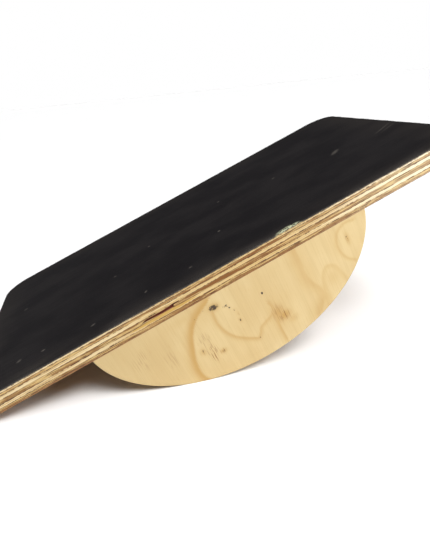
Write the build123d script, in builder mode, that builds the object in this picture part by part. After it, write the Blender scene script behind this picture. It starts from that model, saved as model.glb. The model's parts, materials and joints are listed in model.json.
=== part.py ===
from build123d import *
import os
from math import atan, cos, degrees, sin, sqrt

# A balance board: a black-coated plywood deck that stands on two half-oval plywood rockers.
# It is drawn as it lies when one end is pressed down: both rockers and the lower arris of the
# left end touch the floor, which is the plane Z = 0.  X runs along the floor towards the raised
# end, Y runs from the front rocker to the back one, and the origin is below the middle of the
# board.  Every piece is placed by the deck's own plane, which lies in the deck's underside.

# ---- the deck ----
deck_length = 500.0
deck_width = 300.0
corner_radius = 30.0
coating_thickness = 0.4

# ---- one sheet of seven-ply, which the deck and the rockers are both cut from ----
face_veneer = 1.4
crossband = 2.55
long_band = 2.9
core_veneer = 3.9
sheet_thickness = 2 * (face_veneer + crossband + long_band) + core_veneer
deck_thickness = sheet_thickness + coating_thickness

# ---- the rockers: the part of an upright oval that is below the deck ----
rocker_half_length = 135.0
rocker_half_height = 91.0
oval_centre_above_underside = 9.0
rocker_depth = rocker_half_height - oval_centre_above_underside

# ---- glued dowels between the deck and the rockers ----
dowel_diameter = 8.0
dowel_length = 36.0
dowel_in_deck = 11.0
dowel_spacing = 60.0
dowels_per_rocker = 4
glue_gap = 0.1
flute_count = 12
flute_radius = 0.35

# ---- the gap in the deck's core veneer, open at the front edge ----
gap_depth = 4.0
# Its mouth, as places along the deck and heights that are shares of the core veneer.
gap_mouth = (
    (-84.0, 0.28),
    (-79.0, 0.68),
    (-62.0, 0.76),
    (-53.0, 0.97),
    (-45.5, 0.97),
    (-46.5, 0.70),
    (-51.5, 0.58),
    (-51.5, 0.04),
    (-64.0, 0.04),
    (-72.0, 0.20),
)

# ---- how far the board is tipped ----
# The floor passes through the lower end arris and is tangent to the oval.  With t the tangent of
# the tilt, that is  sqrt(a²t² + b²) = h + t * deck_length / 2, a quadratic in t.
square_term = deck_length**2 / 4 - rocker_half_length**2
linear_term = oval_centre_above_underside * deck_length
constant_term = oval_centre_above_underside**2 - rocker_half_height**2
discriminant = linear_term**2 - 4 * square_term * constant_term
tilt = atan((sqrt(discriminant) - linear_term) / (2 * square_term))

along = (cos(tilt), 0, sin(tilt))
upward = (-sin(tilt), 0, cos(tilt))
underside_centre = (deck_thickness * sin(tilt) / 2, 0, deck_length * sin(tilt) / 2)
deck_plane = Plane(origin=underside_centre, x_dir=along, z_dir=upward)


def upright_plane(across, facing):
    """A plane along the deck and square to it, at a place across it, facing front (-1) or back."""
    origin = deck_plane.from_local_coords((0, across, 0))
    return Plane(origin=origin, x_dir=[-facing * part for part in along], z_dir=(0, facing, 0))


def lay_up(first, last):
    """The plies of a sheet as (name, start, thickness), from its first side to its last one."""
    plies = (
        (f"{first}_face_veneer", face_veneer),
        (f"{first}_crossband", crossband),
        (f"{first}_long_band", long_band),
        ("core_veneer", core_veneer),
        (f"{last}_long_band", long_band),
        (f"{last}_crossband", crossband),
        (f"{last}_face_veneer", face_veneer),
    )
    start = 0.0
    for name, thickness in plies:
        yield name, start, thickness
        start += thickness


def save(piece, name):
    """Label a finished piece and write it to its own file."""
    piece.part.label = name
    export_step(piece.part, f"parts/{name}.step")


def drill_dowel_holes(across):
    """Cut the dowel holes of one rocker out of the piece being made."""
    with BuildSketch(deck_plane.offset(dowel_in_deck - dowel_length)) as holes:
        with Locations((0, across)):
            with GridLocations(dowel_spacing, 0, dowels_per_rocker, 1):
                Circle(dowel_diameter / 2 + glue_gap)
    extrude(holes.sketch, amount=dowel_length, mode=Mode.SUBTRACT)


def cut_core_gap():
    """Cut the gap out of the deck's core veneer, from the front edge inwards."""
    core_start = face_veneer + crossband + long_band
    outline = [(place, core_start + share * core_veneer) for place, share in gap_mouth]
    with BuildSketch(upright_plane(-deck_width / 2, -1)) as mouth:
        with BuildLine():
            Polyline(*outline, close=True)
        make_face()
    extrude(mouth.sketch, amount=-gap_depth, mode=Mode.SUBTRACT)


def make_deck_sheet(name, start, thickness):
    """One flat layer of the deck, whose lower face is this high above the deck's underside."""
    with BuildPart() as layer:
        with BuildSketch(deck_plane.offset(start)):
            RectangleRounded(deck_length, deck_width, corner_radius)
        extrude(amount=thickness)
        if start < dowel_in_deck:
            for across in rocker_middles:
                drill_dowel_holes(across)
        if name == "deck_core_veneer":
            cut_core_gap()
    save(layer, name)


def make_rocker_ply(name, facing, start, thickness):
    """One ply of a rocker, this far inwards from the rocker's outer face."""
    outer_face = upright_plane(facing * deck_width / 2, facing)
    with BuildPart() as ply:
        with BuildSketch(outer_face.offset(-start)):
            with Locations((0, oval_centre_above_underside)):
                Ellipse(rocker_half_length, rocker_half_height)
            with Locations((0, -rocker_depth / 2)):
                Rectangle(2 * rocker_half_length, rocker_depth, mode=Mode.INTERSECT)
        extrude(amount=-thickness)
        drill_dowel_holes(facing * rocker_middle)
    save(ply, name)


def make_dowels(name, across):
    """The fluted dowels of one rocker, standing across the joint between rocker and deck."""
    with BuildPart() as dowels:
        with BuildSketch(deck_plane.offset(dowel_in_deck - dowel_length)):
            with Locations((0, across)):
                with GridLocations(dowel_spacing, 0, dowels_per_rocker, 1):
                    Circle(dowel_diameter / 2)
                    with PolarLocations(dowel_diameter / 2, flute_count):
                        Circle(flute_radius, mode=Mode.SUBTRACT)
        extrude(amount=dowel_length)
    save(dowels, name)


os.makedirs("parts", exist_ok=True)

rocker_middle = (deck_width - sheet_thickness) / 2
rocker_middles = (-rocker_middle, rocker_middle)

for ply_name, ply_start, ply_thickness in lay_up("bottom", "top"):
    make_deck_sheet(f"deck_{ply_name}", ply_start, ply_thickness)
make_deck_sheet("deck_coating", sheet_thickness, coating_thickness)

for rocker_name, rocker_facing in (("front_rocker", -1), ("back_rocker", 1)):
    for ply_name, ply_start, ply_thickness in lay_up("outer", "inner"):
        make_rocker_ply(f"{rocker_name}_{ply_name}", rocker_facing, ply_start, ply_thickness)
    make_dowels(f"{rocker_name}_dowels", rocker_facing * rocker_middle)

print(f"tilt {degrees(tilt):.3f} degrees, rocker depth {rocker_depth:g} mm")
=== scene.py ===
import json
from math import asin, atan2, cos, pi, radians, sin, sqrt

import bmesh
import bpy
import numpy as np
from mathutils import Matrix, Vector, noise


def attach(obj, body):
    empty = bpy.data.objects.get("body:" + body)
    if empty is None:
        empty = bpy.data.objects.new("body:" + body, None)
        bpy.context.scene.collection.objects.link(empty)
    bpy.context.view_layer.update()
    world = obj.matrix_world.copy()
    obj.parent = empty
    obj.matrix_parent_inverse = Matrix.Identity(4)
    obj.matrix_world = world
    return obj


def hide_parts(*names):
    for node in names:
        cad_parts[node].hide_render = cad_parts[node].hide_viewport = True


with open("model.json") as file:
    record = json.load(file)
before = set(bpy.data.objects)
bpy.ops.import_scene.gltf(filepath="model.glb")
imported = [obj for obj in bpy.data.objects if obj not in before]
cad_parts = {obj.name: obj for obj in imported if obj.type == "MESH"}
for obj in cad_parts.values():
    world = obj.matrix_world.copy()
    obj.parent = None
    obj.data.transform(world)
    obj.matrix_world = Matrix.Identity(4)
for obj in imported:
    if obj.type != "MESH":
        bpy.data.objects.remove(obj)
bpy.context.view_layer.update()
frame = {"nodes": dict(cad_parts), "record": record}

# A plywood balance board, lying with its left end down, on a white studio floor.
# Lengths in this script are in millimetres along the deck's own axes, unless a name says otherwise:
# x along the deck, y across it to the back, z up out of its top face, with the origin at the middle
# of that face.  The CAD record's standing face says where those axes are.

MM = 0.001
BODY = "root"

# ---------------------------------------------------------------- the deck's own axes

standing_face = frame["record"]["mounts"][0]
up = Vector(standing_face["axis"])
along = Vector((up.z, 0, -up.x))
across = Vector((0, 1, 0))
deck_origin = Vector(standing_face["pos_m"])
deck_axes = Matrix((along, across, up)).transposed()
tilt = atan2(along.z, along.x)


def to_world(point):
    """Metres in the row frame, for a point in millimetres along the deck's axes."""
    return deck_origin + deck_axes @ (Vector(point) * MM)


def deck_box(node):
    """Lowest and highest corner of a CAD node, in millimetres along the deck's axes."""
    vertices = frame["nodes"][node].data.vertices
    local = np.array([deck_axes.transposed() @ (v.co - deck_origin) for v in vertices]) / MM
    return local.min(0), local.max(0)


coating_low, coating_high = deck_box("deck_coating")
HALF_LENGTH = coating_high[0]
HALF_WIDTH = coating_high[1]
CORNER_RADIUS = 30.0
UNDERSIDE = deck_box("deck_bottom_face_veneer")[0][2]

face_low, face_high = deck_box("front_rocker_outer_face_veneer")
OVAL_RISE = 9.0
OVAL_HEIGHT = UNDERSIDE - face_low[2] + OVAL_RISE
OVAL_LENGTH = face_high[0] / sqrt(1 - (OVAL_RISE / OVAL_HEIGHT) ** 2)


# ---------------------------------------------------------------- shader graphs


class Graph:
    """One material's nodes.  Each method adds nodes and returns the socket that carries on."""

    def __init__(self, name):
        self.material = bpy.data.materials.new(name)
        self.material.use_nodes = True
        self.tree = self.material.node_tree
        self.tree.nodes.clear()

    def node(self, kind, inputs=None, output=0, **settings):
        made = self.tree.nodes.new("ShaderNode" + kind)
        for name, value in settings.items():
            setattr(made, name, value)
        for key, value in (inputs or {}).items():
            if isinstance(value, bpy.types.NodeSocket):
                self.tree.links.new(value, made.inputs[key])
            else:
                made.inputs[key].default_value = value
        return made.outputs[output] if made.outputs else None

    def math(self, operation, first, second=0.0):
        return self.node("Math", {0: first, 1: second}, operation=operation)

    def times(self, vector, factors):
        return self.node("VectorMath", {0: vector, 1: factors}, operation="MULTIPLY")

    def plus(self, vector, offset):
        return self.node("VectorMath", {0: vector, 1: offset}, operation="ADD")

    def noise(self, vector, scale=1.0, detail=2.0, roughness=0.5, distortion=0.0):
        inputs = {"Vector": vector, "Scale": scale, "Detail": detail}
        inputs |= {"Roughness": roughness, "Distortion": distortion}
        return self.node("TexNoise", inputs)

    def step(self, value, start, end, low=0.0, high=1.0):
        """A smooth step of value between start and end."""
        inputs = {"Value": value, "From Min": start, "From Max": end}
        inputs |= {"To Min": low, "To Max": high}
        return self.node("MapRange", inputs, interpolation_type="SMOOTHSTEP")

    def mix(self, factor, first, second, blend="MIX"):
        """A mix of two colours."""
        inputs = {0: factor, 6: first, 7: second}
        return self.node("Mix", inputs, output=2, data_type="RGBA", blend_type=blend)

    def spot(self, point, centre, radii, turn=0.0, soft=0.5):
        """1 inside an ellipsoid, falling to 0 outside it, with a soft rim.

        turn is about z, in degrees.
        """
        inputs = {"Vector": point, "Location": centre, "Scale": radii}
        inputs["Rotation"] = (0, 0, radians(turn))
        inside = self.node("Mapping", inputs, vector_type="TEXTURE")
        distance = self.node("VectorMath", {0: inside}, output="Value", operation="LENGTH")
        return self.step(distance, 1 - soft, 1 + soft, 1.0, 0.0)

    def attribute(self, name):
        return self.node("Attribute", output="Fac", attribute_name=name)

    def deck_point(self):
        """The shaded point in millimetres along the deck's axes."""
        place = self.node("TexCoord", output="Object")
        inputs = {"Vector": place, "Location": deck_origin, "Rotation": (0, -tilt, 0)}
        return self.node("Mapping", inputs | {"Scale": (MM, MM, MM)}, vector_type="TEXTURE")

    def place(self, axis):
        """How far along a deck axis the shaded point is, in millimetres."""
        return self.node("SeparateXYZ", {0: self.deck_point()}, output=axis)

    def facing(self, axis):
        """How squarely the surface faces along a deck axis, from 0 to 1."""
        normal = self.node("NewGeometry", output="Normal")
        inputs = {0: normal, 1: deck_axes.col[axis]}
        turned = self.node("VectorMath", inputs, output="Value", operation="DOT_PRODUCT")
        return self.math("ABSOLUTE", turned)

    def bump(self, height, distance, strength=1.0, normal=None):
        """A bump, whose distance is in millimetres."""
        inputs = {"Height": height, "Distance": distance * MM, "Strength": strength}
        if normal:
            inputs["Normal"] = normal
        return self.node("Bump", inputs)

    def finish(self, colour, roughness, normal, **constants):
        """The surface shader.  The constants are values that are the same all over."""
        inputs = {"Base Color": colour, "Roughness": roughness, "Normal": normal}
        inputs |= {name.replace("_", " "): value for name, value in constants.items()}
        shader = self.node("BsdfPrincipled", inputs)
        self.node("OutputMaterial", {"Surface": shader})
        return self.material


# ---------------------------------------------------------------- wood

ALONG, ACROSS, UP = 0, 1, 2

CREAM = (0.68, 0.55, 0.32, 1)
STRAW = (0.54, 0.375, 0.150, 1)
TAN = (0.35, 0.200, 0.066, 1)
BROWN = (0.190, 0.074, 0.014, 1)
GOLDEN_BROWN = (0.180, 0.066, 0.009, 1)
DARK_BROWN = (0.070, 0.021, 0.005, 1)
STAINED = (0.24, 0.105, 0.036, 1)
# The pale colour that the painted light on the deck's raised end mixes towards.
LIT_END_PALE = (0.86, 0.78, 0.58, 1)
GAP_WALLS = (0.30, 0.080, 0.045, 1)
AMBER = (0.47, 0.290, 0.070, 1)

# Where the deck's front edge is darkened by hands, and how far that goes.
HANDLED_MIDDLE = (10, -HALF_WIDTH, UNDERSIDE / 2)
HANDLED_SIZE = (80, 10, 24)
# Painted light: its raised end is painted paler, standing in for the light that falls brightest there,
# from the first place to the second.
LIT_END_FROM, LIT_END_TO = 60, 190
# How far the noise is moved for each step of a ply's seed, so that no two plies are alike.
PLY_SHIFT = (37.0, 11.0, 5.0)
# Colours on the veneers by the gap in the deck's core: darker reddish brown on its inner walls and
# amber on the front edge below it.  Each gives the middle, then the half length, half depth and half
# height.
GAP_COLOURS = (
    ((-65, 4 - HALF_WIDTH, UNDERSIDE / 2), (30, 3.7, 3.0), GAP_WALLS),
    ((-62, -HALF_WIDTH, UNDERSIDE / 2 - 3.1), (32, 2.0, 1.2), AMBER),
)


def stretched(axis, length, width, thick_axis=None, thickness=None):
    """Factors that make noise this long along one axis and this wide along the others."""
    factors = [1 / width] * 3
    factors[axis] = 1 / length
    if thick_axis is not None:
        factors[thick_axis] = 1 / thickness
    return factors


def glue_line(g, point, sheet, side, low, high):
    """Where a ply's edge is dark with glue: along its two faces, in broken and wavering lines."""
    wander = g.noise(g.times(point, stretched(side, 22, 30)), detail=3)
    broken = g.noise(g.times(point, stretched(side, 14, 3)), detail=3)
    height = g.math("ADD", g.place(sheet), g.step(wander, 0.2, 0.8, -0.35, 0.35))
    above, below = g.math("SUBTRACT", height, low), g.math("SUBTRACT", high, height)
    nearest = g.math("MINIMUM", above, below)
    line = g.step(nearest, 0.15, 0.50, 1.0, 0.0)
    line = g.math("MULTIPLY", line, g.step(broken, 0.42, 0.56, 0.1, 1.0))
    on_edge = g.step(g.facing(sheet), 0.3, 0.7, 1.0, 0.0)
    return g.math("MULTIPLY", line, on_edge)


def ring_figure(g, point, grain, side):
    """Growth rings on a peeled veneer: lines that are sharp on one side and fade on the other."""
    factors = [1.0] * 3
    factors[grain] = 1 / 150
    factors[side] = 1 / 42
    hills = g.noise(g.times(point, factors), detail=1, roughness=0.4)
    phase = g.math("FRACT", g.math("MULTIPLY", hills, 9.0))
    return g.math("MULTIPLY", g.step(phase, 0.35, 0.93), g.step(phase, 0.95, 1.0, 1.0, 0.0))


def long_grain(g, point, grain, sheet, fibre, stained):
    """A ply's colour where its fibres lie in the surface."""
    cloud = g.noise(g.times(point, stretched(grain, 70, 14)), detail=2)
    rings = ring_figure(g, point, grain, 3 - grain - sheet)
    flat = g.math("MULTIPLY", rings, g.step(g.facing(sheet), 0.5, 0.9))
    base, darker = (STAINED, TAN) if stained else (CREAM, STRAW)
    colour = g.mix(g.step(fibre, 0.42, 0.66, 0.0, 0.75), base, darker)
    colour = g.mix(g.step(cloud, 0.45, 0.7, 0.0, 0.3), colour, TAN)
    colour = g.mix(g.step(fibre, 0.52, 0.64, 0.0, 0.55), colour, TAN)
    return g.mix(g.math("MULTIPLY", flat, 0.3), colour, TAN)


def end_grain(g, point, side, sheet, streaks, lines):
    """A ply's colour where its fibres are cut across: dark streaks and blobs along the edge."""
    blobs = g.noise(g.times(point, stretched(side, 21, 9.0, sheet, 2.0)), detail=2)
    colour = g.mix(g.step(streaks, 0.38, 0.47), TAN, STRAW)
    colour = g.mix(g.step(blobs, 0.52, 0.60, 0.0, 0.8), colour, BROWN)
    colour = g.mix(g.step(lines, 0.54, 0.66, 0.0, 0.9), colour, BROWN)
    return g.mix(g.step(streaks, 0.56, 0.64, 0.0, 0.9), colour, DARK_BROWN)


def lit_end_and_handled(g, long_wood, end_wood, lines, stained):
    """The deck's two wood colours, with painted light making the raised end paler, and the front edge
    darkened by hands.
    """
    pale = g.step(g.place(ALONG), LIT_END_FROM, LIT_END_TO)
    handled = g.spot(g.deck_point(), HANDLED_MIDDLE, HANDLED_SIZE, soft=0.8)
    # Painted light: the long grain is mixed paler towards the raised end.
    long_wood = g.mix(g.math("MULTIPLY", pale, 0.2 if stained else 0.6), long_wood, LIT_END_PALE)
    long_wood = g.mix(g.math("MULTIPLY", handled, 0.5), long_wood, BROWN if stained else AMBER)
    # Painted light: the end grain too, more faintly.
    end_wood = g.mix(g.math("MULTIPLY", pale, 0.12), end_wood, LIT_END_PALE)
    golden = g.math("MULTIPLY", handled, g.step(lines, 0.46, 0.50))
    return long_wood, g.mix(golden, end_wood, GOLDEN_BROWN)


def veneer_material(name, grain, sheet, seed, low, high, stained=False):
    """One ply.  grain is the deck axis that its fibres run along, sheet the axis square to the ply.

    low and high are where the ply begins and ends along the sheet axis.
    """
    g = Graph(name)
    point = g.plus(g.deck_point(), [seed * shift for shift in PLY_SHIFT])
    side = 3 - grain - sheet
    on_deck = name.startswith("deck")

    fibre = g.noise(g.times(point, stretched(grain, 55, 0.8, sheet, 0.6)), detail=3)
    streaks = g.noise(g.times(point, stretched(side, 19, 2.0, sheet, 0.85)), detail=3)
    lines = g.noise(g.times(point, stretched(side, 36, 3.0, sheet, 0.7)), detail=2)
    long_wood = long_grain(g, point, grain, sheet, fibre, stained)
    end_wood = end_grain(g, point, side, sheet, streaks, lines)
    if on_deck:
        long_wood, end_wood = lit_end_and_handled(g, long_wood, end_wood, lines, stained)

    endness = g.step(g.facing(grain), 0.35, 0.8)
    colour = g.mix(endness, long_wood, end_wood)
    colour = g.mix(glue_line(g, point, sheet, side, low, high), colour, DARK_BROWN)
    if on_deck:
        # Mix in the gap's colours: darker reddish brown on its inner walls, amber on the edge below it.
        for middle, radii, gap_tint in GAP_COLOURS:
            colour = g.mix(g.spot(g.deck_point(), middle, radii, soft=0.1), colour, gap_tint)
    height = g.math("ADD", g.math("MULTIPLY", fibre, 0.3), g.math("MULTIPLY", streaks, endness))
    return g.finish(colour, 0.62, g.bump(height, 0.15), IOR=1.45)


# ---------------------------------------------------------------- coating

BLACK = (0.0060, 0.0050, 0.0062, 1)
DUSTY_BLACK = (0.0124, 0.0107, 0.0115, 1)
MARGIN_BROWN = (0.0185, 0.0155, 0.0148, 1)
GREY_DUST = (0.135, 0.120, 0.105, 1)
PALE_GREEN = (0.56, 0.58, 0.38, 1)

# How far in from the deck's ends and its long sides the coating is browner.
END_MARGIN, SIDE_MARGIN = 45, 35
# A torn patch of pale green on the front edge: its middle, then its half length, depth and height.
PATCH_MIDDLE = (66, 1 - HALF_WIDTH, 0)
PATCH_SIZE = (12, 6.0, 9)

# Light specks and scuffs: x, y, half length, half width, turn in degrees, and how clear they are.
SPECKS = (
    (-208, 21, 2.2, 1.6, 20, 0.5),
    (-51, 4, 1.2, 1.2, 0, 0.8),
    (44, 26, 1.3, 1.2, 0, 0.9),
    (109, 2, 2.0, 1.1, 30, 0.6),
    (20, -66, 1.3, 1.3, 0, 0.9),
    (-96, -32, 1.5, 1.2, 0, 0.6),
    (-198, -111, 2.4, 1.9, 40, 0.6),
    (-173, -117, 1.8, 1.2, 0, 0.9),
    (-123, -122, 2.2, 1.3, 25, 0.7),
    (-69, -114, 1.9, 1.1, 60, 0.7),
    (-23, -115, 1.7, 1.1, 10, 0.6),
    (177, -24, 6.5, 2.8, 40, 0.50),
    (234, -31, 13.0, 0.8, 24, 0.5),
    (237, -38, 10.0, 0.7, 20, 0.35),
)


def coating_marks(g, point):
    """How clearly a light speck, scuff or scratch shows."""
    ragged = g.noise(point, 1.3, detail=3)
    shown = 0.0
    for x, y, half_length, half_width, turn, clear in SPECKS:
        mark = g.spot(point, (x, y, 0), (half_length, half_width, 9), turn, soft=0.6)
        mark = g.math("MULTIPLY", mark, clear)
        shown = mark if shown == 0.0 else g.math("MAXIMUM", shown, mark)
    return g.math("MULTIPLY", shown, g.step(ragged, 0.3, 0.6, 0.35, 1.0))


def coating_margin(g, patch):
    """How brown the coating is: most along the deck's ends and sides, and unevenly."""
    lengthwise, crosswise = (g.math("ABSOLUTE", g.place(axis)) for axis in (ALONG, ACROSS))
    by_ends = g.step(lengthwise, HALF_LENGTH - END_MARGIN, HALF_LENGTH)
    by_sides = g.step(crosswise, HALF_WIDTH - SIDE_MARGIN, HALF_WIDTH)
    margin = g.math("MAXIMUM", by_ends, by_sides)
    return g.math("MULTIPLY", margin, g.step(patch, 0.3, 0.6, 0.3, 1.0))


def coating_dust(g, patch, grit):
    """How dusty the coating is: most at the front edge, and a little further in."""
    depth = g.math("ADD", g.place(ACROSS), HALF_WIDTH)
    uneven = g.step(patch, 0.42, 0.62, 0.1, 1.0)
    swept = g.math("MULTIPLY", g.step(depth, 1.0, 20.0, 0.35, 0.0), uneven)
    near_edge = g.math("ADD", g.step(depth, 0.3, 4.5, 0.75, 0.0), swept)
    return g.math("MULTIPLY", near_edge, g.step(grit, 0.42, 0.62, 0.1, 1.0))


def coating_material():
    """The black coating: matte, with the grain under it just showing, dusty edges and light marks."""
    g = Graph("black_coating")
    point = g.deck_point()
    streak = g.noise(g.times(point, (1 / 60, 1 / 2.2, 1)), detail=4)
    patch = g.noise(g.times(point, (1 / 75, 1 / 40, 1)), detail=3)
    grit = g.noise(point, 0.9, detail=3, roughness=0.7)
    torn = g.noise(g.times(point, (0.3, 0.5, 0.5)), detail=3, roughness=0.7)
    pale_patch = g.spot(point, PATCH_MIDDLE, PATCH_SIZE, soft=0.3)
    pale_patch = g.math("MULTIPLY", pale_patch, g.step(torn, 0.44, 0.52))

    colour = g.mix(g.step(patch, 0.38, 0.66), BLACK, DUSTY_BLACK)
    colour = g.mix(g.step(streak, 0.48, 0.70, 0, 0.7), colour, DUSTY_BLACK)
    colour = g.mix(g.step(grit, 0.56, 0.70, 0, 0.12), colour, GREY_DUST)
    colour = g.mix(coating_margin(g, patch), colour, MARGIN_BROWN)
    colour = g.mix(coating_dust(g, patch, grit), colour, GREY_DUST)
    colour = g.mix(coating_marks(g, point), colour, GREY_DUST)
    colour = g.mix(pale_patch, colour, PALE_GREEN)
    colour = g.mix(g.step(g.facing(UP), 0.35, 0.9, 0.7, 0.0), colour, GREY_DUST)

    roughness = g.step(streak, 0.35, 0.65, 0.66, 0.71)
    height = g.math("ADD", g.math("MULTIPLY", streak, 0.6), g.math("MULTIPLY", grit, 0.4))
    return g.finish(colour, roughness, g.bump(height, 0.06), IOR=1.4, Specular_IOR_Level=0.2)


# ---------------------------------------------------------------- the stage


# Half the floor's width in metres, and how many rows of points it has.
FLOOR_HALF_WIDTH = 30.0
FLOOR_ROWS = 9


def make_floor():
    """A wide white floor, which the shadows fall on."""
    mesh = bpy.data.meshes.new("floor")
    steps = np.linspace(-FLOOR_HALF_WIDTH, FLOOR_HALF_WIDTH, FLOOR_ROWS)
    vertices = [(x, y, 0.0) for y in steps for x in steps]
    n = len(steps)
    faces = [(i, i + 1, i + 1 + n, i + n) for i in range(n * (n - 1)) if (i + 1) % n]
    mesh.from_pydata(vertices, [], faces)
    floor = bpy.data.objects.new("floor", mesh)
    bpy.context.scene.collection.objects.link(floor)
    g = Graph("floor_white")
    soft = g.noise(g.node("TexCoord", output="Object"), 3.0, detail=2)
    colour = g.mix(soft, (0.87, 0.87, 0.87, 1), (0.90, 0.90, 0.90, 1))
    mesh.materials.append(g.finish(colour, 0.9, g.bump(soft, 0.01)))


def add_light(name, kind, direction, strength):
    """A white light that shines from a direction towards the middle of the object."""
    data = bpy.data.lights.new(name, kind)
    data.energy = strength
    light = bpy.data.objects.new(name, data)
    light.location = direction
    light.rotation_euler = (-Vector(direction)).to_track_quat("-Z", "Y").to_euler()
    light.visible_camera = False
    bpy.context.scene.collection.objects.link(light)
    return data


# How strongly the room lights the object, where 1 is the white that the camera sees.
ROOM_LIGHT = 0.12


def make_room():
    """A room that is white to look at, and gives the object only a little light."""
    world = bpy.data.worlds.new("studio")
    world.use_nodes = True
    tree = world.node_tree
    background = tree.nodes["Background"]
    background.inputs["Color"].default_value = (1, 1, 1, 1)
    strength = tree.nodes.new("ShaderNodeMapRange")
    strength.inputs["To Min"].default_value = ROOM_LIGHT
    strength.inputs["To Max"].default_value = 1.0
    seen = tree.nodes.new("ShaderNodeLightPath").outputs["Is Camera Ray"]
    tree.links.new(seen, strength.inputs["Value"])
    tree.links.new(strength.outputs["Result"], background.inputs["Strength"])
    bpy.context.scene.world = world


def make_lights():
    """A key light from in front, a broad softbox overhead, and a nearer one on the right."""
    key = add_light("key_softbox", "SUN", (0.35, -0.72, 1.00), 2.05)
    key.angle = radians(25)
    overhead = add_light("overhead_softbox", "SUN", (0.15, -0.40, 1.0), 1.95)
    overhead.angle = radians(55)
    right = add_light("right_softbox", "AREA", (0.60, -0.50, 0.36), 2.2)
    right.shape = "DISK"
    right.size = 0.35


# The camera, in degrees and metres in the row frame.  The lens and sensor are in millimetres.
CAMERA_AZIMUTH = 11.46
CAMERA_ELEVATION = 19.95
CAMERA_ROLL = 5.70
CAMERA_DISTANCE = 0.5672
CAMERA_TARGET = (0.0173, -0.0186, 0.0570)
LENS = 33.76
SENSOR = 36.0


def make_camera():
    """The scene's camera, which looks at its target and is rolled about its own line of sight."""
    data = bpy.data.cameras.new("camera")
    data.lens = LENS
    data.sensor_width = SENSOR
    data.clip_start = 0.01
    camera = bpy.data.objects.new("camera", data)
    azimuth, elevation = radians(CAMERA_AZIMUTH), radians(CAMERA_ELEVATION)
    ahead = cos(elevation)
    forward = Vector((sin(azimuth) * ahead, cos(azimuth) * ahead, -sin(elevation)))
    level = forward.to_track_quat("-Z", "Y").to_matrix()
    roll = Matrix.Rotation(radians(CAMERA_ROLL), 3, forward)
    turned = (roll @ level).to_4x4()
    stand = Matrix.Translation(Vector(CAMERA_TARGET) - forward * CAMERA_DISTANCE)
    camera.matrix_world = stand @ turned
    bpy.context.scene.collection.objects.link(camera)
    bpy.context.scene.camera = camera


# ---------------------------------------------------------------- meshes


def new_piece(name, mesh, material, replaced):
    """Show a finished mesh in place of a CAD node."""
    mesh.materials.append(material)
    piece = bpy.data.objects.new(name, mesh)
    bpy.context.scene.collection.objects.link(piece)
    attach(piece, BODY)
    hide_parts(replaced)


def wobble(place, size, height):
    """Smooth repeatable noise, at most about this high, with bumps about this long."""
    return height * noise.noise(Vector(place) / size)


def rounded_outline(spacing):
    """Points round the deck's outline, each with the direction that points out of it."""
    straight_x = HALF_LENGTH - CORNER_RADIUS
    straight_y = HALF_WIDTH - CORNER_RADIUS
    turns = int(CORNER_RADIUS * pi / 2 / spacing)
    points = []
    for quarter, (side_x, side_y) in enumerate(((1, 1), (-1, 1), (-1, -1), (1, -1))):
        start = quarter * pi / 2
        for i in range(turns + 1):
            angle = start + i * pi / 2 / turns
            out = (cos(angle), sin(angle))
            x = side_x * straight_x + CORNER_RADIUS * out[0]
            y = side_y * straight_y + CORNER_RADIUS * out[1]
            points.append(((x, y), out))
        run = 2 * (straight_y if quarter % 2 else straight_x)
        steps = int(run / spacing)
        heading = (-out[1], out[0])
        for i in range(1, steps):
            gone = run * i / steps
            points.append(((x + heading[0] * gone, y + heading[1] * gone), out))
    return points


# How far the coating's edge has worn back from the arris, usually and at the least.
USUAL_WEAR, LEAST_WEAR = 0.30, 0.05
# The unevenness of that wear: where the noise is read, how long its waves are and how high.
WEAR_WAVES = ((0, 23, 0.25), (7, 4.5, 0.2), (3, 1.3, 0.2))
# Where it has broken away: the middle along the front edge, half width and depth.
EDGE_CHIPS = ((56, 3, 1.6), (66, 7, 0.9), (76, 4, 1.8), (-92, 6, 0.5), (14, 7, 0.5), (150, 12, 0.5))


def chip_depth(place, chips):
    """How deep the chips are at a place, for chips given as middle, half width and depth."""
    return sum(depth * max(0.0, 1 - ((place - middle) / half) ** 2) for middle, half, depth in chips)


def edge_wear(x, y):
    """How far the coating's edge has worn back at a point of the outline."""
    worn = USUAL_WEAR
    for layer, size, height in WEAR_WAVES:
        worn += wobble((x, y, layer), size, height)
    if y < -HALF_WIDTH + 1:
        worn += chip_depth(x, EDGE_CHIPS)
    return max(worn, LEAST_WEAR)


# The spacing of points round the coating, and how far its upper edge is rounded.
OUTLINE_SPACING = 0.9
EDGE_ROUNDING = 0.12


def coating_mesh():
    """The coating, with its edge worn back unevenly from the arris."""
    thickness = coating_high[2] - coating_low[2]
    builder = bmesh.new()
    loops = []
    for height, rounding in ((0.0, EDGE_ROUNDING), (-thickness * 0.4, 0.0), (-thickness, 0.0)):
        loop = []
        for (x, y), (out_x, out_y) in rounded_outline(OUTLINE_SPACING):
            back = edge_wear(x, y) + rounding
            point = (x - out_x * back, y - out_y * back, height)
            loop.append(builder.verts.new(to_world(point)))
        loops.append(loop)
    count = len(loops[0])
    for upper, lower in zip(loops, loops[1:]):
        for i in range(count):
            j = (i + 1) % count
            builder.faces.new((upper[i], lower[i], lower[j], upper[j]))
    builder.faces.new(loops[0])
    builder.faces.new(reversed(loops[-1]))
    bmesh.ops.recalc_face_normals(builder, faces=builder.faces)
    mesh = bpy.data.meshes.new("coating")
    builder.to_mesh(mesh)
    builder.free()
    return mesh


# ---------------------------------------------------------------- the rockers' outer faces

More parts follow.
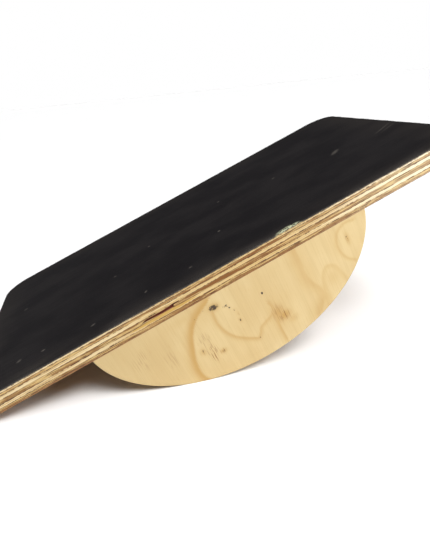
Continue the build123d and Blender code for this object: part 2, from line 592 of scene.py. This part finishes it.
# Growth rings on the front rocker as paths of (x, depth below the deck), then the width of the dark
# side and of the fading side, and how strong the ring is.
FRONT_RINGS = (
    (
        ((-26, 4), (-41, 13), (-50, 24), (-56, 38), (-60, 51), (-61, 61), (-59, 70), (-53, 78)),
        1.0,
        6.0,
        0.92,
    ),
    (((-25, 14), (-26, 22), (-26, 29), (-23, 39), (-18, 47), (-10, 54), (0, 60.5)), 0.9, 3.0, 0.60),
    (((0, 60.5), (3, 57), (6, 52), (12, 49), (20, 45.5), (22.5, 40), (21, 34)), 0.8, 3.0, 0.52),
    (((22, 46), (23, 52), (22.5, 60), (22.5, 68), (23, 77)), 0.7, 3.2, 0.60),
    (((62, 0), (63, 16), (62.5, 26), (65, 37), (70, 47), (71, 55), (67, 62), (61, 70)), 1.4, 7.0, 0.44),
    (((70, 66), (73, 50), (76, 38), (82, 31), (90, 34), (94, 44), (97, 54)), 1.2, 4.5, 0.34),
    (((121, 4), (112, 3), (104, 7), (100, 15), (100, 25), (104, 34), (111, 40)), 0.9, 2.0, 0.48),
)
# Blots on the same face: x, depth, half width, half height, how orange, how dark and how scratched.
FRONT_BLOTS = (
    (-23, 11.4, 5.4, 3.5, 0.9, 1.00, 0.0),
    (-31, 9.5, 3.0, 2.0, 0.2, 0.6, 0.0),
    (-14, 15.8, 3.4, 1.6, 0.1, 0.85, 0.0),
    (-10.7, 19.0, 1.3, 1.8, 0.1, 0.8, 0.0),
    (-8.0, 23.5, 1.1, 2.0, 0.3, 0.75, 0.0),
    (-6.4, 28.5, 1.1, 2.4, 0.4, 0.75, 0.0),
    (-7.2, 35.2, 1.4, 2.4, 0.6, 0.85, 0.0),
    (20.4, 22.6, 1.2, 1.9, 0.0, 1.3, 0.0),
    (-33.6, 54, 3.2, 2.4, 0.8, 0.60, 0.4),
    (-50, 45, 2.6, 3.8, 0.6, 0.60, 0.3),
    (-43, 13, 2.0, 1.6, 0.4, 0.66, 0.0),
    (-42, 50, 4.5, 9.0, 0.15, 0.0, 0.85),
    (-34, 62, 3.0, 5.0, 0.0, 0.0, 0.3),
    (-78, 37, 6.0, 9.0, 0.0, 0.0, 0.18),
    (-100, 24, 8.0, 10.0, 0.0, 0.0, 0.2),
    (-44, 36, 5.0, 8.0, 0.0, 0.0, 0.3),
    (26, 49, 6.0, 9.0, 0.80, 0.0, 0.35),
    (30, 53, 6.0, 5.0, 1.00, 0.0, 0.75),
    (36, 60, 5.0, 4.0, 0.40, 0.0, 0.2),
    (1, 61, 1.6, 2.0, 0.6, 0.66, 0.0),
    (71, 57, 5.0, 9.0, 0.45, 0.0, 0.0),
    (66, 24, 7.0, 20.0, 0.22, 0.0, 0.0),
    (110, 17, 1.8, 5.5, 0.7, 0.68, 0.3),
    (84, 44, 7.0, 8.0, 0.3, 0.0, 0.0),
    (-52, 8, 14.0, 5.0, 0.25, 0.0, 0.0),
)

# The back rocker's figure, in the same form.
BACK_RINGS = (
    (((-92, 0), (-88, 16), (-80, 34), (-84, 52)), 1.0, 5.0, 0.45),
    (((-58, 0), (-60, 18), (-50, 38), (-30, 52), (-14, 60), (-12, 76)), 1.0, 6.0, 0.70),
    (((-34, 0), (-36, 12), (-26, 26), (-8, 34), (10, 30), (18, 14), (16, 0)), 0.9, 3.5, 0.55),
    (((36, 82), (38, 60), (46, 44), (60, 36), (74, 42), (80, 58)), 1.0, 4.5, 0.50),
    (((70, 0), (72, 12), (84, 22), (100, 20), (110, 6), (110, 0)), 0.9, 3.0, 0.42),
)
BACK_BLOTS = (
    (-9, 13, 3.6, 4.6, 0.8, 0.95, 0.0),
    (40, 22, 1.1, 1.6, 0.0, 1.2, 0.0),
    (92, 8, 2.0, 3.0, 0.6, 0.80, 0.0),
    (-70, 60, 3.0, 8.0, 0.0, 0.0, 0.8),
    (10, 55, 5.0, 12.0, 0.0, 0.0, 0.5),
    (58, 58, 10.0, 9.0, 0.4, 0.0, 0.2),
    (-108, 20, 7.0, 10.0, 0.2, 0.0, 0.3),
)


def smooth_path(points, steps=12):
    """Points along a smooth curve through the given ones."""
    p = np.array(points, float)
    p = np.vstack((2 * p[0] - p[1], p, 2 * p[-1] - p[-2]))
    t = np.linspace(0, 1, steps, endpoint=False)[:, None]
    runs = []
    for a, b, c, d in zip(p, p[1:], p[2:], p[3:]):
        bend = (2 * a - 5 * b + 4 * c - d) * t**2 + (3 * b - a - 3 * c + d) * t**3
        runs.append((2 * b + (c - a) * t + bend) / 2)
    return np.vstack(runs)


def ring_strength(points, path, dark_side, fading_side):
    """How strongly a ring shows at each point: sharp on the path's left, fading on its right."""
    curve = smooth_path(path)
    heading = np.gradient(curve, axis=0)
    offset = points[:, None, :] - curve[None, :, :]
    nearest = np.argmin((offset**2).sum(2), axis=1)
    rows = np.arange(len(points))
    gap = offset[rows, nearest]
    distance = np.hypot(gap[:, 0], gap[:, 1])
    turn = heading[nearest, 0] * gap[:, 1] - heading[nearest, 1] * gap[:, 0]
    width = np.where(turn > 0, fading_side, dark_side)
    return np.exp(-((distance / width) ** 2))


def paint_figure(points, rings, blots):
    """How orange, dark and scratched the wood is at each (x, depth) point."""
    orange, dark, scratched = np.zeros((3, len(points)))
    for path, dark_side, fading_side, strength in rings:
        orange = np.maximum(orange, strength * ring_strength(points, path, dark_side, fading_side))
    for x, depth, half_width, half_height, orange_part, dark_part, scratched_part in blots:
        square = ((points[:, 0] - x) / half_width) ** 2 + ((points[:, 1] - depth) / half_height) ** 2
        orange = np.maximum(orange, orange_part * np.exp(-square))
        dark = np.maximum(dark, dark_part * np.exp(-square**2))
        scratched = np.maximum(scratched, scratched_part * np.exp(-square**2))
    return {"orange": orange, "dark": dark, "scratched": scratched}


# How far the rocker's arris is eased, and how fine the grid on its face is.
EASED_ARRIS = 0.3
ROCKER_ROWS = 96
ROCKER_COLUMNS = 260
# Nicks in that arris: the middle along the rocker, half width and depth.
RIM_CHIPS = ((22.5, 3.0, 0.7), (-88, 2.5, 0.5), (97, 2.0, 0.45), (-30, 2.0, 0.3))


def rim_wear(x):
    """How far the rocker's curved arris is nicked at a place along it."""
    return 0.05 + abs(wobble((x, 0, 11), 3.0, 0.12)) + chip_depth(x, RIM_CHIPS)


def rocker_face_mesh(name, facing, rings, blots, thickness):
    """The outer veneer of a rocker: a fine grid on its face, which carries the painted figure."""
    start = asin(OVAL_RISE / OVAL_HEIGHT)
    builder = bmesh.new()

    def vertex(share, angle, inset, inwards):
        x = share * (OVAL_LENGTH - inset) * cos(angle)
        depth = max((OVAL_HEIGHT - inset) * sin(angle) - OVAL_RISE, 0.0)
        return builder.verts.new(to_world((x, facing * (HALF_WIDTH - inwards), UNDERSIDE - depth)))

    angles = np.linspace(start, pi / 2, ROCKER_ROWS)
    shares = np.linspace(-1, 1, ROCKER_COLUMNS)
    grid = []
    for angle in angles[:-1]:
        grid.append([vertex(share, angle, EASED_ARRIS, 0.0) for share in shares])
    bottom = vertex(0, pi / 2, EASED_ARRIS, 0.0)
    for upper, lower in zip(grid, grid[1:]):
        for i in range(ROCKER_COLUMNS - 1):
            builder.faces.new((upper[i], lower[i], lower[i + 1], upper[i + 1]))
    for left, right in zip(grid[-1], grid[-1][1:]):
        builder.faces.new((left, bottom, right))

    rim = [row[0] for row in grid] + [bottom] + [row[-1] for row in reversed(grid)]
    going_down = [(-1, angle) for angle in angles[:-1]]
    going_up = [(1, angle) for angle in angles[-2::-1]]
    sides = [*going_down, (0, pi / 2), *going_up]
    eased = []
    for share, angle in sides:
        worn = rim_wear(share * OVAL_LENGTH * cos(angle))
        eased.append(vertex(share, angle, 0.0, EASED_ARRIS + worn))
    inner = [vertex(share, angle, 0.0, thickness) for share, angle in sides]
    for near, far in ((rim, eased), (eased, inner)):
        for i in range(len(near) - 1):
            builder.faces.new((near[i], near[i + 1], far[i + 1], far[i]))
    top_row = grid[0]
    builder.faces.new(list(reversed(inner)))
    builder.faces.new([*top_row, eased[-1], inner[-1], inner[0], eased[0]])

    local = np.array([(v.co - deck_origin) @ deck_axes for v in builder.verts]) / MM
    points = np.stack((local[:, 0], UNDERSIDE - local[:, 2]), axis=1)
    bmesh.ops.recalc_face_normals(builder, faces=builder.faces)
    mesh = bpy.data.meshes.new(name)
    builder.to_mesh(mesh)
    builder.free()
    for paint, values in paint_figure(points, rings, blots).items():
        mesh.attributes.new(paint, "FLOAT", "POINT").data.foreach_set("value", values)
    return mesh


FACE_PALE = (0.530, 0.388, 0.183, 1)
FACE_LIGHT = (0.570, 0.436, 0.220, 1)
FACE_WARM = (0.455, 0.320, 0.140, 1)
RING_TAN = (0.43, 0.255, 0.070, 1)
KNOT_DARK = (0.050, 0.030, 0.016, 1)
# Painted shade: the face is mixed darker and warmer towards the left, from the first place to the
# second.
LEFT_SHADE_FROM, LEFT_SHADE_TO = -20, -140
# How far the noise is moved for each step of a face's seed.
FACE_SHIFT = (53.0, 0.0, 17.0)


def rocker_face_material(name, seed):
    """Peeled veneer: fine upright grain, knife marks, the painted rings, knots and scratches, and
    painted shade towards the left.
    """
    g = Graph(name)
    point = g.plus(g.deck_point(), [seed * shift for shift in FACE_SHIFT])
    fibre = g.noise(g.times(point, stretched(UP, 45, 0.7)), detail=3)
    bands = g.noise(g.times(point, stretched(UP, 120, 6)), detail=2)
    broad = g.noise(g.times(point, stretched(UP, 60, 30)), detail=2)
    strokes = g.noise(g.times(point, stretched(UP, 11, 0.8)), detail=2)
    flecks = g.noise(g.times(point, stretched(UP, 2.2, 0.8)), detail=3, roughness=0.6)

    colour = g.mix(g.step(broad, 0.35, 0.65), FACE_PALE, FACE_LIGHT)
    colour = g.mix(g.step(bands, 0.42, 0.72, 0, 0.25), colour, FACE_WARM)
    # Painted shade: the face darkens towards its left end, standing in for the light falling off there.
    colour = g.mix(g.step(g.place(ALONG), LEFT_SHADE_FROM, LEFT_SHADE_TO, 0, 0.5), colour, FACE_WARM)
    colour = g.mix(g.step(fibre, 0.46, 0.7, 0, 0.28), colour, FACE_WARM)
    colour = g.mix(g.step(strokes, 0.62, 0.75, 0, 0.22), colour, RING_TAN)
    colour = g.mix(g.attribute("orange"), colour, RING_TAN)
    scratched = g.math("MULTIPLY", g.attribute("scratched"), g.step(strokes, 0.50, 0.62))
    colour = g.mix(scratched, colour, BROWN)
    dark = g.math("MULTIPLY", g.attribute("dark"), 0.6)
    blots = g.step(g.math("ADD", dark, g.math("MULTIPLY", flecks, 0.95)), 0.86, 1.02)
    colour = g.mix(blots, colour, KNOT_DARK)
    height = g.math("SUBTRACT", fibre, g.math("ADD", blots, scratched))
    return g.finish(colour, 0.5, g.bump(height, 0.1), IOR=1.45)


# ---------------------------------------------------------------- putting it together


def dress(node, material):
    """Give a CAD node one material."""
    data = frame["nodes"][node].data
    data.materials.clear()
    data.materials.append(material)


def dress_plies():
    """Give every veneer its own wood, with the fibres of crossbands and cores running crosswise."""
    plies = sorted(n for n in frame["nodes"] if "veneer" in n or "band" in n)
    for seed, node in enumerate(plies):
        sheet = UP if node.startswith("deck") else ACROSS
        lengthwise = ALONG if sheet == UP else UP
        crosswise = 3 - sheet - lengthwise
        is_cross = "crossband" in node or "core" in node
        grain = crosswise if is_cross else lengthwise
        low, high = (corner[sheet] for corner in deck_box(node))
        stained = node == "deck_bottom_face_veneer"
        dress(node, veneer_material(node, grain, sheet, seed, low, high, stained))


DOWEL_SEED = 40

make_camera()
make_room()
make_lights()
make_floor()
dress_plies()
new_piece("coating", coating_mesh(), coating_material(), "deck_coating")
face_thickness = face_high[1] - face_low[1]
figures = (("front", -1, FRONT_RINGS, FRONT_BLOTS, 1), ("back", 1, BACK_RINGS, BACK_BLOTS, 6))
for side, facing, rings, blots, seed in figures:
    face = rocker_face_mesh(f"{side}_face", facing, rings, blots, face_thickness)
    wood = rocker_face_material(f"{side}_rocker_wood", seed)
    new_piece(f"{side}_rocker_face", face, wood, f"{side}_rocker_outer_face_veneer")
for side in ("front", "back"):
    front, back = (corner[ACROSS] for corner in deck_box(f"{side}_rocker_dowels"))
    wood = veneer_material(f"{side}_dowels", UP, ACROSS, DOWEL_SEED, front, back)
    dress(f"{side}_rocker_dowels", wood)

bpy.context.scene.view_settings.view_transform = "Standard"
